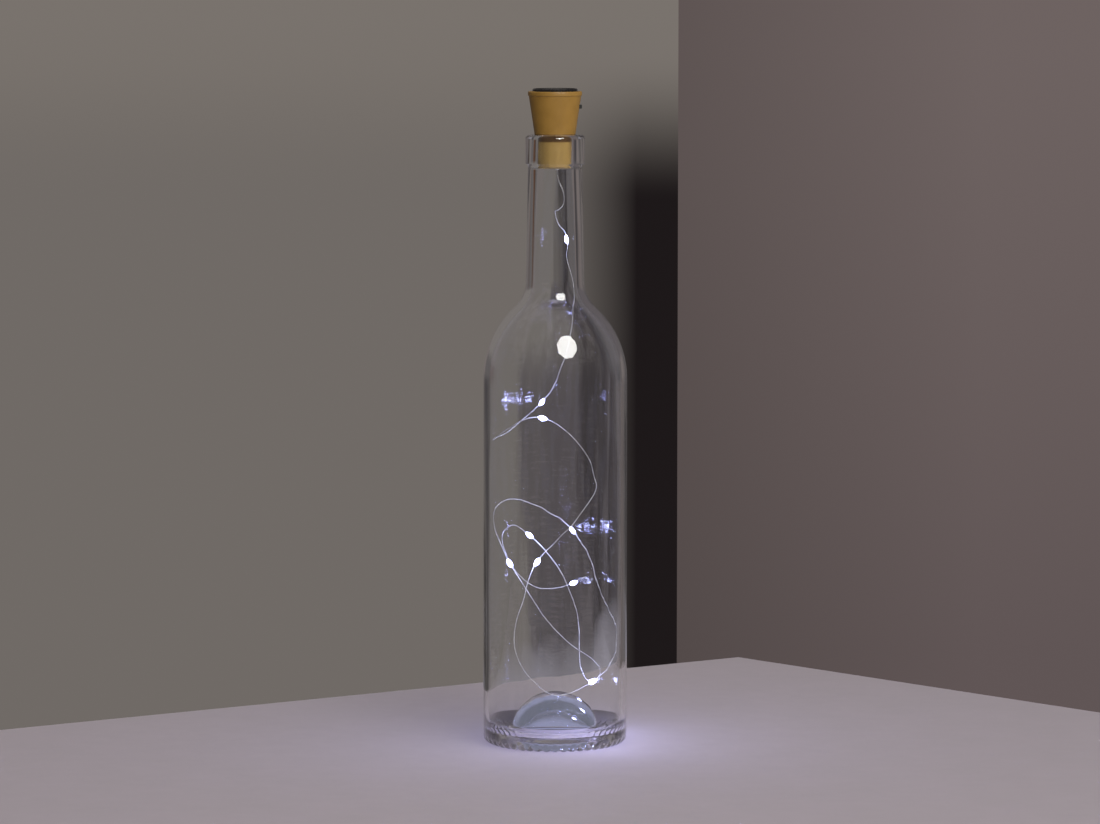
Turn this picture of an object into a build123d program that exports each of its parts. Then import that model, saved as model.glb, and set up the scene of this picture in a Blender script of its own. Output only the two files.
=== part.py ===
from build123d import *
import math
import os

# Cork bottle light: a clear wine bottle, a stopper with a solar panel and a switch, and a string of
# lights on fine wire. Millimetres. The origin is the centre of the base on the surface it stands on,
# and +Z runs up the bottle's axis. The switch faces +X, and the photograph looks along +Y.

# Bottle
body_radius = 37.0
body_wall = 3.0
heel_radius = 4.5
shoulder_height = 188.0
shoulder_radius = 50.0
flare_radius = 17.0
inner_flare_radius = 20.0
neck_foot_rise = 49.5
neck_foot_radius = 15.1
neck_top_radius = 13.9
bottle_height = 313.0
ring_height = 15.0
ring_radius = 15.2
ring_round = 2.3
ring_under_round = 0.6
bore_radius = 9.25
bore_foot_radius = 11.9
mouth_round = 0.7

# Punt and base
punt_height = 18.5
punt_radius = 19.5
punt_glass = 7.8
punt_top_radius = 22.6
punt_foot_round = 3.5
floor_glass = 6.0
inner_heel_radius = 7.5
gutter_height = 1.4
gutter_slope = 1.0
bearing_width = 2.6
knurl_count = 48
knurl_width = 1.7
knurl_depth = 0.5

# Stopper shell
plug_clearance = 0.75
plug_depth = 15.7
plug_wall = 1.5
plug_floor = 1.4
plug_round = 0.5
step_width = 1.9
cone_height = 19.6
cone_top_radius = 13.35
lip_height = 2.4
lip_overhang = 0.45
lip_round = 0.6
shell_wall = 2.3
chamber_foot_rise = 1.0
chamber_foot_radius = 7.4
board_rise = 11.4
board_ledge = 0.9
frame_clearance = 0.1
rib_count = 3
first_rib_angle = 30.0
rib_width = 1.2
rib_clearance = 0.2
rib_height = 11.0

# Solar panel
frame_radius = 11.5
frame_seat = 3.2
frame_height = 4.6
frame_chamfer = 0.5
frame_wall = 1.2
frame_floor = 1.2
frame_rim = 0.2
panel_clearance = 0.1
panel_board_thickness = 0.8
cell_count = 4
cell_width = 3.3
cell_length = 13.8
cell_gap = 0.2
cell_thickness = 0.3
busbar_width = 0.5
busbar_thickness = 0.08
panel_lead_diameter = 0.9
panel_lead_hole = 1.5
panel_lead_turn = 2.0

# Circuit board and what stands on it
board_radius = 9.5
board_thickness = 1.0
chip_length = 4.0
chip_width = 3.0
chip_height = 1.4
chip_lift = 0.2
chip_leg = 0.5
chip_leg_reach = 0.9
chip_leg_count = 4
inductor_diameter = 2.6
inductor_length = 6.0
inductor_round = 0.8
inductor_lead = 0.5
inductor_lead_reach = 1.1
resistor_length = 2.0
resistor_width = 1.25
resistor_height = 0.55
capacitor_diameter = 4.0
capacitor_height = 4.6
capacitor_round = 0.5

# Slide switch
switch_length = 6.6
switch_depth = 3.3
switch_height = 3.6
switch_wall = 0.5
switch_front_gap = 0.3
switch_travel = 2.0
slide_clearance = 0.2
carriage_length = 2.8
knob_width = 1.8
knob_height = 2.0
knob_overhang = 1.2
knob_round = 0.3
slot_clearance = 0.5
slot_height_clearance = 0.2
pin_count = 3
pin_diameter = 0.5
pin_clearance = 0.1
pin_pitch = 2.0
pin_drop = 1.6

# Battery
battery_radius = 5.0
battery_height = 14.5
battery_round = 0.6
button_radius = 2.0
button_height = 0.7
sleeve_thickness = 0.15
sleeve_lip = 1.2
tab_width = 3.0
tab_thickness = 0.2
tab_gap = 0.55
bottom_tab_angle = 210.0
top_tab_reach = 3.2

# Light string
wire_diameter = 0.5
exit_offset_x = 1.1
exit_offset_y = 6.0
seal_radius = 1.2
seal_height = 1.8
seal_clearance = 0.05
drop_length = 4.8
drop_radius = 1.1
drop_end_radius = 0.4
led_length = 1.6
led_width = 0.8
led_height = 0.6
led_gap = 0.03

# The string's route below its exit, chosen by eye from the photograph
string_route = [
    (1.1, 6.0, 294.9),
    (1.4, 6.0, 292.4),
    (2.4, 5.8, 288.4),
    (4.3, 5.4, 283.2),
    (4.8, 4.8, 278.3),
    (2.2, 3.6, 274.3),
    (-0.1, 6.0, 274.1),
    (0.9, 7.4, 270.7),
    (2.7, 6.6, 265.8),
    (5.5, 5.9, 262.8),
    (6.8, 4.9, 256.0),
    (5.6, 4.4, 250.9),
    (8.2, 3.4, 244.0),
    (9.7, 2.4, 236.9),
    (9.8, 2.6, 228.6),
    (9.3, 4.0, 219.2),
    (8.0, 6.5, 210.2),
    (6.0, 9.5, 201.1),
    (2.9, 14.5, 190.8),
    (-0.7, 20.0, 181.5),
    (-5.0, 23.4, 176.2),
    (-9.5, 25.6, 171.3),
    (-15.3, 27.0, 165.7),
    (-23.3, 22.0, 159.9),
    (-29.7, 12.5, 157.0),
    (-32.5, 0.0, 156.5),
    (-29.4, -12.5, 159.1),
    (-22.9, -22.0, 164.9),
    (-15.4, -27.3, 170.0),
    (-9.4, -26.9, 171.4),
    (-2.7, -26.1, 169.6),
    (4.2, -25.5, 165.3),
    (11.9, -24.0, 157.2),
    (18.1, -22.0, 148.0),
    (19.1, -21.0, 140.7),
    (21.2, -20.5, 134.0),
    (15.5, -22.0, 125.0),
    (9.4, -24.0, 116.3),
    (2.8, -26.0, 110.1),
    (-2.8, -27.0, 104.1),
    (-7.1, -26.3, 99.8),
    (-10.8, -25.7, 93.9),
    (-13.5, -25.0, 87.0),
    (-15.5, -24.0, 77.2),
    (-19.4, -23.5, 66.4),
    (-20.6, -23.5, 54.1),
    (-17.0, -24.5, 43.0),
    (-10.3, -26.5, 34.6),
    (-3.2, -28.0, 29.5),
    (3.5, -28.0, 28.2),
    (11.1, -26.0, 31.2),
    (16.2, -24.3, 33.4),
    (21.4, -20.7, 36.6),
    (26.5, -15.5, 40.6),
    (30.5, -7.5, 47.6),
    (32.1, 1.0, 55.6),
    (30.6, 8.5, 63.3),
    (26.3, 15.0, 71.8),
    (21.6, 20.0, 81.0),
    (19.3, 22.5, 90.5),
    (14.9, 24.5, 99.7),
    (11.5, 25.0, 104.4),
    (6.7, 26.0, 109.3),
    (1.3, 27.5, 113.7),
    (-7.6, 28.5, 118.8),
    (-17.0, 25.0, 122.6),
    (-25.3, 17.5, 124.7),
    (-30.4, 7.0, 122.1),
    (-31.5, -3.0, 117.1),
    (-29.3, -12.0, 110.4),
    (-26.1, -18.0, 103.5),
    (-23.9, -21.3, 98.8),
    (-20.6, -22.7, 92.8),
    (-16.6, -22.0, 86.1),
    (-10.5, -17.0, 75.2),
    (-4.3, -9.0, 64.8),
    (3.4, 1.0, 54.6),
    (11.8, 10.0, 46.5),
    (19.6, 18.0, 40.4),
    (25.4, 22.0, 34.1),
    (22.6, 24.1, 27.6),
    (15.8, 25.9, 27.6),
    (13.4, 25.0, 34.1),
    (12.4, 22.0, 43.7),
    (12.8, 16.0, 55.0),
    (11.5, 8.5, 67.0),
    (7.0, 0.5, 78.7),
    (3.4, -7.0, 89.7),
    (-3.9, -14.0, 100.2),
    (-10.1, -18.2, 107.5),
    (-15.1, -19.8, 112.1),
    (-20.5, -19.5, 115.7),
    (-25.5, -13.0, 112.1),
    (-27.9, -3.5, 105.8),
    (-26.2, 7.0, 97.7),
    (-22.6, 16.0, 89.3),
    (-17.4, 22.5, 81.4),
    (-10.1, 26.5, 76.4),
    (-0.7, 28.0, 75.7),
    (6.5, 27.1, 77.7),
    (12.9, 25.9, 80.4),
    (16.2, 25.0, 82.6),
]
# How many points of the list above come before the run that has each light at its middle
light_point_counts = [9, 20, 29, 40, 51, 61, 71, 80, 89, 99]

# Places of the board's parts, as shares of the board's radius
chip_place_share = (-0.02, -0.58)
inductor_place_share = (-0.62, 0.0)
capacitor_place_share = (0.16, 0.42)
resistor_place_shares = [(-0.2, -0.1), (0.12, -0.14), (-0.2, 0.14)]
red_lead_place_share = (-0.2, 0.66)
black_lead_place_share = (-0.44, 0.62)
arc_share = 0.45

# Shared by all cuts
overrun = 1.0

# How a solid lies about its place: standing on it or hanging under it
standing = (Align.CENTER, Align.CENTER, Align.MIN)
hanging = (Align.CENTER, Align.CENTER, Align.MAX)

# Heights and radii that several pieces share
rim_z = bottle_height
plug_radius = bore_radius - plug_clearance
plug_bottom_z = rim_z - plug_depth
plug_floor_z = plug_bottom_z + plug_floor
plug_bore_radius = plug_radius - plug_wall
cone_foot_radius = plug_radius + step_width
cone_top_z = rim_z + cone_height
lip_radius = cone_top_radius + lip_overhang
lip_top_z = cone_top_z + lip_height
frame_z = lip_top_z - frame_seat
frame_top_z = frame_z + frame_height
board_z = rim_z + board_rise
board_top_z = board_z + board_thickness
panel_z = frame_z + frame_floor
panel_top_z = panel_z + panel_board_thickness
panel_radius = frame_radius - frame_wall - panel_clearance
battery_z = plug_floor_z + tab_thickness
battery_top_z = battery_z + battery_height
sleeve_radius = battery_radius + sleeve_thickness
knob_z = board_top_z + switch_height / 2


def cone_radius(z):
    """The shell's outer radius at height z."""
    return cone_foot_radius + (cone_top_radius - cone_foot_radius) * (z - rim_z) / cone_height


def chamber_radius(z):
    """The shell's inner radius at height z."""
    return cone_radius(z) - shell_wall


switch_front_x = math.sqrt((chamber_radius(board_top_z) - switch_front_gap) ** 2 - (switch_length / 2) ** 2)
knob_tip_x = cone_radius(knob_z) + knob_overhang


def arc_about(centre, start, end):
    """The shorter arc from start to end about a centre, in the profile's plane."""
    radius = math.dist(centre, start)
    way_x = start[0] + end[0] - 2 * centre[0]
    way_y = start[1] + end[1] - 2 * centre[1]
    reach = math.hypot(way_x, way_y)
    middle = (centre[0] + way_x * radius / reach, centre[1] + way_y * radius / reach)
    return ThreePointArc(start, middle, end)


def chain(*points):
    """Straight edges through the points."""
    return [Line(a, b) for a, b in zip(points[:-1], points[1:])]


def turn(edges):
    """A solid turned about the Z axis from a closed profile of radius and height."""
    return revolve(Plane.XZ * make_face(edges), Axis.Z, 360)


def shoulder_and_flare(radius, flare, top, foot):
    """Tangent points where a round shoulder meets a hollow flare and the flare meets the neck's line."""
    centre = (body_radius - shoulder_radius, shoulder_height)
    lean = math.atan2(foot[0] - top[0], top[1] - foot[1])
    down = (math.sin(lean), -math.cos(lean))
    out = (math.cos(lean), math.sin(lean))
    away = (top[0] + flare * out[0] - centre[0], top[1] + flare * out[1] - centre[1])
    along = away[0] * down[0] + away[1] * down[1]
    gap = away[0] ** 2 + away[1] ** 2 - (radius + flare) ** 2
    drop = -along - math.sqrt(along ** 2 - gap)
    on_neck = (top[0] + drop * down[0], top[1] + drop * down[1])
    flare_centre = (on_neck[0] + flare * out[0], on_neck[1] + flare * out[1])
    pull = radius / (radius + flare)
    on_shoulder = (
        centre[0] + (flare_centre[0] - centre[0]) * pull,
        centre[1] + (flare_centre[1] - centre[1]) * pull,
    )
    return centre, on_shoulder, flare_centre, on_neck


def outer_wall_edges():
    """The bottle's outside, from the mouth down to the bearing ring."""
    ring_z = bottle_height - ring_height
    neck_foot = (neck_foot_radius, shoulder_height + neck_foot_rise)
    neck_top = (neck_top_radius, ring_z)
    centre, on_shoulder, flare_centre, on_neck = shoulder_and_flare(
        shoulder_radius, flare_radius, neck_top, neck_foot
    )
    ring_side = (ring_radius, bottle_height - ring_round)
    ring_top = (ring_radius - ring_round, bottle_height)
    ring_low = (ring_radius, ring_z + ring_under_round)
    ring_under = (ring_radius - ring_under_round, ring_z)
    body_top = (body_radius, shoulder_height)
    body_foot = (body_radius, heel_radius)
    bearing_edge = (body_radius - heel_radius, 0)
    edges = [arc_about((ring_top[0], ring_side[1]), ring_top, ring_side)]
    edges += chain(ring_side, ring_low)
    edges += [arc_about((ring_under[0], ring_low[1]), ring_low, ring_under)]
    edges += chain(ring_under, neck_top, on_neck)
    edges += [arc_about(flare_centre, on_neck, on_shoulder)]
    edges += [arc_about(centre, on_shoulder, body_top)]
    edges += chain(body_top, body_foot)
    edges += [arc_about((bearing_edge[0], body_foot[1]), body_foot, bearing_edge)]
    return edges, ring_top, bearing_edge


def underside_edges(bearing_edge):
    """The base's underside, from the bearing ring in to the top of the punt."""
    bearing_inner = (bearing_edge[0] - bearing_width, 0)
    gutter_edge = (bearing_inner[0] - gutter_slope, gutter_height)
    dome_centre_z = punt_height - punt_radius
    dome_foot = (math.sqrt(punt_radius ** 2 - (gutter_height - dome_centre_z) ** 2), gutter_height)
    apex = (0, punt_height)
    edges = chain(bearing_edge, bearing_inner, gutter_edge, dome_foot)
    edges += [arc_about((0, dome_centre_z), dome_foot, apex)]
    return edges, apex


def inner_edges(apex):
    """The bottle's inside, from the top of the punt out over the floor and up to the mouth."""
    inner_radius = body_radius - body_wall
    top_z = punt_height + punt_glass
    dome_centre = (0, top_z - punt_top_radius)
    foot_z = floor_glass + punt_foot_round
    reach = punt_top_radius + punt_foot_round
    foot_centre = (math.sqrt(reach ** 2 - (foot_z - dome_centre[1]) ** 2), foot_z)
    pull = punt_top_radius / reach
    dome_foot = (foot_centre[0] * pull, dome_centre[1] + (foot_centre[1] - dome_centre[1]) * pull)
    floor_start = (foot_centre[0], floor_glass)
    floor_end = (inner_radius - inner_heel_radius, floor_glass)
    wall_foot = (inner_radius, floor_glass + inner_heel_radius)
    wall_top = (inner_radius, shoulder_height)
    neck_foot = (bore_foot_radius, shoulder_height + neck_foot_rise)
    mouth_low = (bore_radius, bottle_height - mouth_round)
    mouth_top = (bore_radius + mouth_round, bottle_height)
    centre, on_shoulder, flare_centre, on_neck = shoulder_and_flare(
        shoulder_radius - body_wall, inner_flare_radius, mouth_low, neck_foot
    )
    edges = chain(apex, (0, top_z))
    edges += [arc_about(dome_centre, (0, top_z), dome_foot)]
    edges += [arc_about(foot_centre, dome_foot, floor_start)]
    edges += chain(floor_start, floor_end)
    edges += [arc_about((floor_end[0], wall_foot[1]), floor_end, wall_foot)]
    edges += chain(wall_foot, wall_top)
    edges += [arc_about(centre, wall_top, on_shoulder)]
    edges += [arc_about(flare_centre, on_shoulder, on_neck)]
    edges += chain(on_neck, mouth_low)
    edges += [arc_about((mouth_top[0], mouth_low[1]), mouth_low, mouth_top)]
    return edges, mouth_top


def make_bottle():
    """The bottle: one turned wall with a domed punt and short grooves across its bearing ring."""
    outer, ring_top, bearing_edge = outer_wall_edges()
    under, apex = underside_edges(bearing_edge)
    inner, mouth_top = inner_edges(apex)
    glass = turn(outer + under + inner + chain(mouth_top, ring_top))
    groove_start = bearing_edge[0] - bearing_width - gutter_slope
    groove = Box(
        body_radius - groove_start,
        knurl_width,
        knurl_depth + overrun,
        align=(Align.MIN, Align.CENTER, Align.MIN),
    )
    groove = Pos(groove_start, 0, -overrun) * groove
    grooves = [Rot(0, 0, 360 * i / knurl_count) * groove for i in range(knurl_count)]
    return glass - grooves


def make_shell():
    """The stopper's shell: plug, cone and lip, hollow from the panel's seat down to the plug's floor."""
    recess_radius = frame_radius + frame_clearance
    lip_in = lip_radius - lip_round
    outer = chain(
        (0, plug_bottom_z),
        (plug_radius - plug_round, plug_bottom_z),
        (plug_radius, plug_bottom_z + plug_round),
        (plug_radius, rim_z),
        (cone_foot_radius, rim_z),
        (cone_top_radius, cone_top_z),
        (lip_in, cone_top_z),
    )
    side_low = (lip_radius, cone_top_z + lip_round)
    side_high = (lip_radius, lip_top_z - lip_round)
    outer += [arc_about((lip_in, side_low[1]), (lip_in, cone_top_z), side_low)]
    outer += chain(side_low, side_high)
    outer += [arc_about((lip_in, side_high[1]), side_high, (lip_in, lip_top_z))]
    inner = chain(
        (lip_in, lip_top_z),
        (recess_radius, lip_top_z),
        (recess_radius, frame_z),
        (chamber_radius(frame_z), frame_z),
        (chamber_radius(board_z), board_z),
        (board_radius - board_ledge, board_z),
        (chamber_foot_radius, rim_z + chamber_foot_rise),
        (plug_bore_radius, rim_z),
        (plug_bore_radius, plug_floor_z),
        (0, plug_floor_z),
        (0, plug_bottom_z),
    )
    shell = turn(outer + inner)
    rib_inner = sleeve_radius + rib_clearance
    rib = Box(
        plug_radius - plug_wall / 2 - rib_inner,
        rib_width,
        rib_height,
        align=(Align.MIN, Align.CENTER, Align.MIN),
    )
    rib = Pos(rib_inner, 0, plug_floor_z) * rib
    ribs = [Rot(0, 0, first_rib_angle + 360 * i / rib_count) * rib for i in range(rib_count)]
    slot = Box(
        cone_top_radius,
        knob_width + switch_travel + 2 * slot_clearance,
        knob_height + 2 * slot_height_clearance,
        align=(Align.MIN, Align.CENTER, Align.CENTER),
    )
    slot = Pos(switch_front_x, 0, knob_z) * slot
    hole = Pos(exit_offset_x, exit_offset_y, plug_bottom_z - overrun) * Cylinder(
        wire_diameter / 2, plug_floor + 2 * overrun, align=standing
    )
    return shell + ribs - slot - hole


def lead_places():
    """Where the panel's two leads leave its board, as red and black."""
    red = (red_lead_place_share[0] * board_radius, red_lead_place_share[1] * board_radius)
    black = (black_lead_place_share[0] * board_radius, black_lead_place_share[1] * board_radius)
    return red, black


def make_panel_frame():
    """The black dish that holds the panel, with a hole in its floor for each lead."""
    cavity = frame_radius - frame_wall
    frame = turn(
        chain(
            (0, frame_z),
            (frame_radius, frame_z),
            (frame_radius, frame_top_z - frame_chamfer),
            (frame_radius - frame_chamfer, frame_top_z),
            (cavity, frame_top_z),
            (cavity, panel_z),
            (0, panel_z),
            (0, frame_z),
        )
    )
    for place in lead_places():
        frame -= Pos(place[0], place[1], frame_z + frame_floor / 2) * Cylinder(
            panel_lead_hole / 2, frame_floor + 2 * overrun
        )
    return frame


def disc(radius, height, z):
    """A plain disc about the axis, from height z upward."""
    return Pos(0, 0, z) * Cylinder(radius, height, align=standing)


def cell_centres():
    """Middle of each solar cell along X."""
    pitch = cell_width + cell_gap
    return [(i - (cell_count - 1) / 2) * pitch for i in range(cell_count)]


def make_cells():
    """The solar cells: flat strips side by side on the panel's board."""
    strip = Box(cell_width, cell_length, cell_thickness, align=standing)
    return [Pos(x, 0, panel_top_z) * strip for x in cell_centres()]


def make_busbars():
    """One thin silver line down the middle of each cell."""
    bar = Box(busbar_width, cell_length, busbar_thickness, align=standing)
    return [Pos(x, 0, panel_top_z + cell_thickness) * bar for x in cell_centres()]


def make_lens(cells, busbars):
    """Clear resin poured over the cells, up to just under the frame's rim."""
    resin = disc(frame_radius - frame_wall, frame_top_z - frame_rim - panel_top_z, panel_top_z)
    for piece in cells + busbars:
        resin -= piece
    return resin


def tube(points, radii, diameter):
    """A round tube along straight runs joined by tangent arcs."""
    path = FilletPolyline(*points, radius=radii)
    start = Plane(origin=path @ 0, z_dir=path % 0)
    return sweep(start * Circle(diameter / 2), path=path), path.length


def corner_radii(points):
    """The largest radius each corner takes, and the run lengths."""
    vectors = [Vector(*p) for p in points]
    runs = [b - a for a, b in zip(vectors[:-1], vectors[1:])]
    radii = []
    for before, after in zip(runs[:-1], runs[1:]):
        half_turn = math.radians(before.get_angle(after)) / 2
        radii.append(arc_share * min(before.length, after.length) / math.tan(half_turn))
    return radii, [run.length for run in runs]


def make_panel_lead(place, side):
    """One lead from under the panel's board down to the circuit board, with a slack bow to one side."""
    x, y = place
    span = panel_z - board_top_z
    bow = panel_lead_turn * side / 4
    points = [
        (x, y, panel_z),
        (x, y, panel_z - span / 4),
        (x + bow, y, board_top_z + span / 2),
        (x, y, board_top_z + span / 4),
        (x, y, board_top_z),
    ]
    radii, _ = corner_radii(points)
    return tube(points, radii, panel_lead_diameter)[0]


def board_point(share):
    """A place on the circuit board from its share of the board's radius."""
    return share[0] * board_radius, share[1] * board_radius


def pin_places():
    """Where the switch's pins pass through the board."""
    x = switch_front_x - switch_depth / 2
    return [(x, (i - (pin_count - 1) / 2) * pin_pitch) for i in range(pin_count)]


def make_board():
    """The round circuit board on the shell's ledge, drilled for the switch's pins."""
    board = disc(board_radius, board_thickness, board_z)
    for x, y in pin_places():
        board -= Pos(x, y, board_z + board_thickness / 2) * Cylinder(
            pin_diameter / 2 + pin_clearance, board_thickness + 2 * overrun
        )
    return board


def make_chip():
    """The charging chip: a moulded block with a row of legs along one side."""
    x, y = board_point(chip_place_share)
    block = Pos(x, y, board_top_z + chip_lift) * Box(chip_length, chip_width, chip_height, align=standing)
    pitch = chip_length / chip_leg_count
    for i in range(chip_leg_count):
        leg_x = x + (i - (chip_leg_count - 1) / 2) * pitch
        foot = Box(chip_leg, chip_width / 2 + chip_leg_reach, chip_lift + chip_leg / 2,
                   align=(Align.CENTER, Align.MAX, Align.MIN))
        block += Pos(leg_x, y, board_top_z) * foot
    return block


def make_inductor():
    """The boost inductor: a round-ended bead with a wire lead at each end, bent down to the board."""
    x, y = board_point(inductor_place_share)
    z = board_top_z + inductor_diameter / 2
    bead = Rot(90, 0, 0) * Cylinder(inductor_diameter / 2, inductor_length)
    bead = fillet(bead.edges().filter_by(GeomType.CIRCLE), inductor_round)
    reach = inductor_length / 2 + inductor_lead_reach
    for side in (-1, 1):
        bead += Pos(0, side * reach / 2, 0) * Rot(90, 0, 0) * Cylinder(inductor_lead / 2, reach)
        foot = Cylinder(inductor_lead / 2, inductor_diameter / 2, align=hanging)
        bead += Pos(0, side * reach, 0) * (foot + Sphere(inductor_lead / 2))
    return Pos(x, y, z) * bead


def make_resistors():
    """Small flat chip resistors on the board."""
    block = Box(resistor_length, resistor_width, resistor_height, align=standing)
    return [Pos(*board_point(share), board_top_z) * block for share in resistor_place_shares]


def make_capacitor():
    """A can capacitor that stands on the board."""
    x, y = board_point(capacitor_place_share)
    can = Cylinder(capacitor_diameter / 2, capacitor_height, align=standing)
    can = fillet(can.faces().sort_by(Axis.Z)[-1].edges(), capacitor_round)
    return Pos(x, y, board_top_z) * can


def make_switch_body():
    """The switch's case: a hollow block on the board with a slot for the knob's stem in its front."""
    middle_x = switch_front_x - switch_depth / 2
    case = Box(switch_depth, switch_length, switch_height)
    case -= Box(
        switch_depth - 2 * switch_wall,
        switch_length - 2 * switch_wall,
        switch_height - 2 * switch_wall,
    )
    front = Box(
        switch_depth,
        knob_width + switch_travel + 2 * slide_clearance,
        knob_height + 2 * slide_clearance,
        align=(Align.MIN, Align.CENTER, Align.CENTER),
    )
    return Pos(middle_x, 0, knob_z) * (case - front)


def make_slider():
    """The switch's slider: a carriage inside the case and a knob out through the shell's slot."""
    carriage_depth = switch_depth - 2 * switch_wall - 2 * slide_clearance
    carriage = Box(carriage_depth, carriage_length, switch_height - 2 * switch_wall - 2 * slide_clearance)
    stem = Box(
        knob_tip_x - switch_front_x + switch_depth / 2,
        knob_width,
        knob_height,
        align=(Align.MIN, Align.CENTER, Align.CENTER),
    )
    tip = stem.faces().sort_by(Axis.X)[-1].edges()
    stem = fillet(tip, knob_round)
    middle_x = switch_front_x - switch_depth / 2
    return Pos(middle_x, -switch_travel / 2, knob_z) * (carriage + stem)


def make_pins():
    """The switch's pins, from under its case down through the board."""
    pin = Cylinder(pin_diameter / 2, pin_drop, align=hanging)
    return [Pos(x, y, board_top_z) * pin for x, y in pin_places()]


def make_battery():
    """The rechargeable cell, standing in the plug with its button up."""
    can = Cylinder(battery_radius, battery_height, align=standing)
    can = fillet(can.faces().sort_by(Axis.Z)[-1].edges(), battery_round)
    return Pos(0, 0, battery_z) * can + disc(button_radius, button_height, battery_top_z)


def make_sleeve(battery):
    """The thin sleeve round the cell, with a lip over its shoulder."""
    sleeve = disc(sleeve_radius, battery_height + sleeve_thickness, battery_z)
    sleeve -= disc(battery_radius - sleeve_lip, battery_height + 2 * overrun, battery_z)
    return sleeve - battery


def make_top_tab():
    """The nickel strip from the cell's button out and up to the board."""
    z = battery_top_z + button_height
    corner = (Align.MIN, Align.CENTER, Align.MIN)
    foot = Box(top_tab_reach + button_radius, tab_width, tab_thickness, align=corner)
    rise = Box(tab_thickness, tab_width, board_z - z, align=corner)
    return Pos(-top_tab_reach, 0, z) * (foot + rise)


def make_bottom_tab():
    """The nickel strip from under the cell out to its side and up to the board."""
    reach = sleeve_radius + tab_gap + tab_thickness
    corner = (Align.MAX, Align.CENTER, Align.MIN)
    foot = Box(reach + button_radius, tab_width, tab_thickness, align=corner)
    rise = Box(tab_thickness, tab_width, board_z - plug_floor_z, align=corner)
    return Rot(0, 0, bottom_tab_angle) * (Pos(reach, 0, plug_floor_z) * (foot + rise))


def make_string_leads():
    """The string's upper end, straight down from the board to the underside of the plug."""
    lead = Cylinder(wire_diameter / 2, board_z - plug_bottom_z, align=standing)
    return Pos(exit_offset_x, exit_offset_y, plug_bottom_z) * lead


def make_seal():
    """The bead of glue under the plug that the string comes out of."""
    drop = scale(Sphere(seal_radius), by=(1, 1, seal_height / seal_radius))
    drop -= Box(2 * seal_radius, 2 * seal_radius, 2 * seal_height, align=standing)
    drop -= Cylinder(wire_diameter / 2 + seal_clearance, 4 * seal_height)
    return Pos(exit_offset_x, exit_offset_y, plug_bottom_z) * drop


def wire_points():
    """The whole route of the string, from its exit to its bare tip."""
    return [(exit_offset_x, exit_offset_y, plug_bottom_z)] + string_route


def make_wire():
    """The string's wire, with its radii, length and volume printed."""
    points = wire_points()
    radii, runs = corner_radii(points)
    wire, length = tube(points, radii, wire_diameter)
    section = math.pi * (wire_diameter / 2) ** 2
    print("wire radii from", round(min(radii), 2), "to", round(max(radii), 1))
    print("wire runs from", round(min(runs), 2), "to", round(max(runs), 2))
    print("wire length", round(length, 1), "volume share", round(wire.volume / (section * length), 4))
    return wire


def light_planes():
    """A plane at each light, centred on the wire with its normal along it."""
    planes = []
    for start in light_point_counts:
        a = Vector(*string_route[start])
        b = Vector(*string_route[start + 1])
        planes.append(Plane(origin=(a + b) / 2, z_dir=b - a))
    return planes


def make_leds():
    """The light chips, each just clear of the wire inside its drop."""
    lift = wire_diameter / 2 + led_gap + led_height / 2
    chip = Pos(0, lift, 0) * Box(led_width, led_height, led_length)
    return [plane * chip for plane in light_planes()]


def make_drops(leds):
    """The clear resin drops, one round each chip, with a space for the chip."""
    half = drop_length / 2
    foot = (drop_end_radius, -half)
    head = (drop_end_radius, half)
    edges = chain((0, half), (0, -half), foot) + [ThreePointArc(foot, (drop_radius, 0), head)]
    edges += chain(head, (0, half))
    drop = turn(edges)
    return [plane * drop - led for plane, led in zip(light_planes(), leds)]


def save(name, shape):
    """Writes one piece, or a group of separate pieces, under its name."""
    solids = []
    for piece in shape if isinstance(shape, list) else [shape]:
        solids += piece.solids()
    export_step(Compound(children=solids) if len(solids) > 1 else solids[0], f"parts/{name}.step")


def main():
    os.makedirs("parts", exist_ok=True)
    save("glass_bottle", make_bottle())
    save("cork_shell", make_shell())
    save("panel_frame", make_panel_frame())
    save("panel_board", disc(panel_radius, panel_board_thickness, panel_z))
    cells = make_cells()
    busbars = make_busbars()
    save("solar_cells", cells)
    save("cell_busbars", busbars)
    save("panel_lens", make_lens(cells, busbars))
    red, black = lead_places()
    save("panel_lead_red", make_panel_lead(red, 1))
    save("panel_lead_black", make_panel_lead(black, -1))
    save("circuit_board", make_board())
    save("controller_chip", make_chip())
    save("boost_inductor", make_inductor())
    save("chip_resistors", make_resistors())
    save("board_capacitor", make_capacitor())
    save("switch_body", make_switch_body())
    save("switch_slider", make_slider())
    save("switch_pins", make_pins())
    battery = make_battery()
    save("battery_cell", battery)
    save("battery_sleeve", make_sleeve(battery))
    save("battery_tab_top", make_top_tab())
    save("battery_tab_bottom", make_bottom_tab())
    save("string_leads", make_string_leads())
    save("exit_seal", make_seal())
    save("string_wire", make_wire())
    leds = make_leds()
    save("led_chips", leds)
    save("led_drops", make_drops(leds))


main()
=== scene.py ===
import math

import bpy
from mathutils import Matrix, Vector


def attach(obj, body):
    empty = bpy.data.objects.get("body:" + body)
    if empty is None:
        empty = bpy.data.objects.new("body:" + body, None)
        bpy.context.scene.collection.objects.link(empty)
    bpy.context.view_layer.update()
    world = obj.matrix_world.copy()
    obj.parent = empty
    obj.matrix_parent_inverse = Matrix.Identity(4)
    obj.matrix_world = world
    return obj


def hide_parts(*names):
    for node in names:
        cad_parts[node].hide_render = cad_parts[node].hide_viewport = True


# Cork bottle light, in metres. The origin is the centre of the base, +Z runs up the bottle's axis, the
# camera looks along +Y and the switch faces +X.

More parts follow.
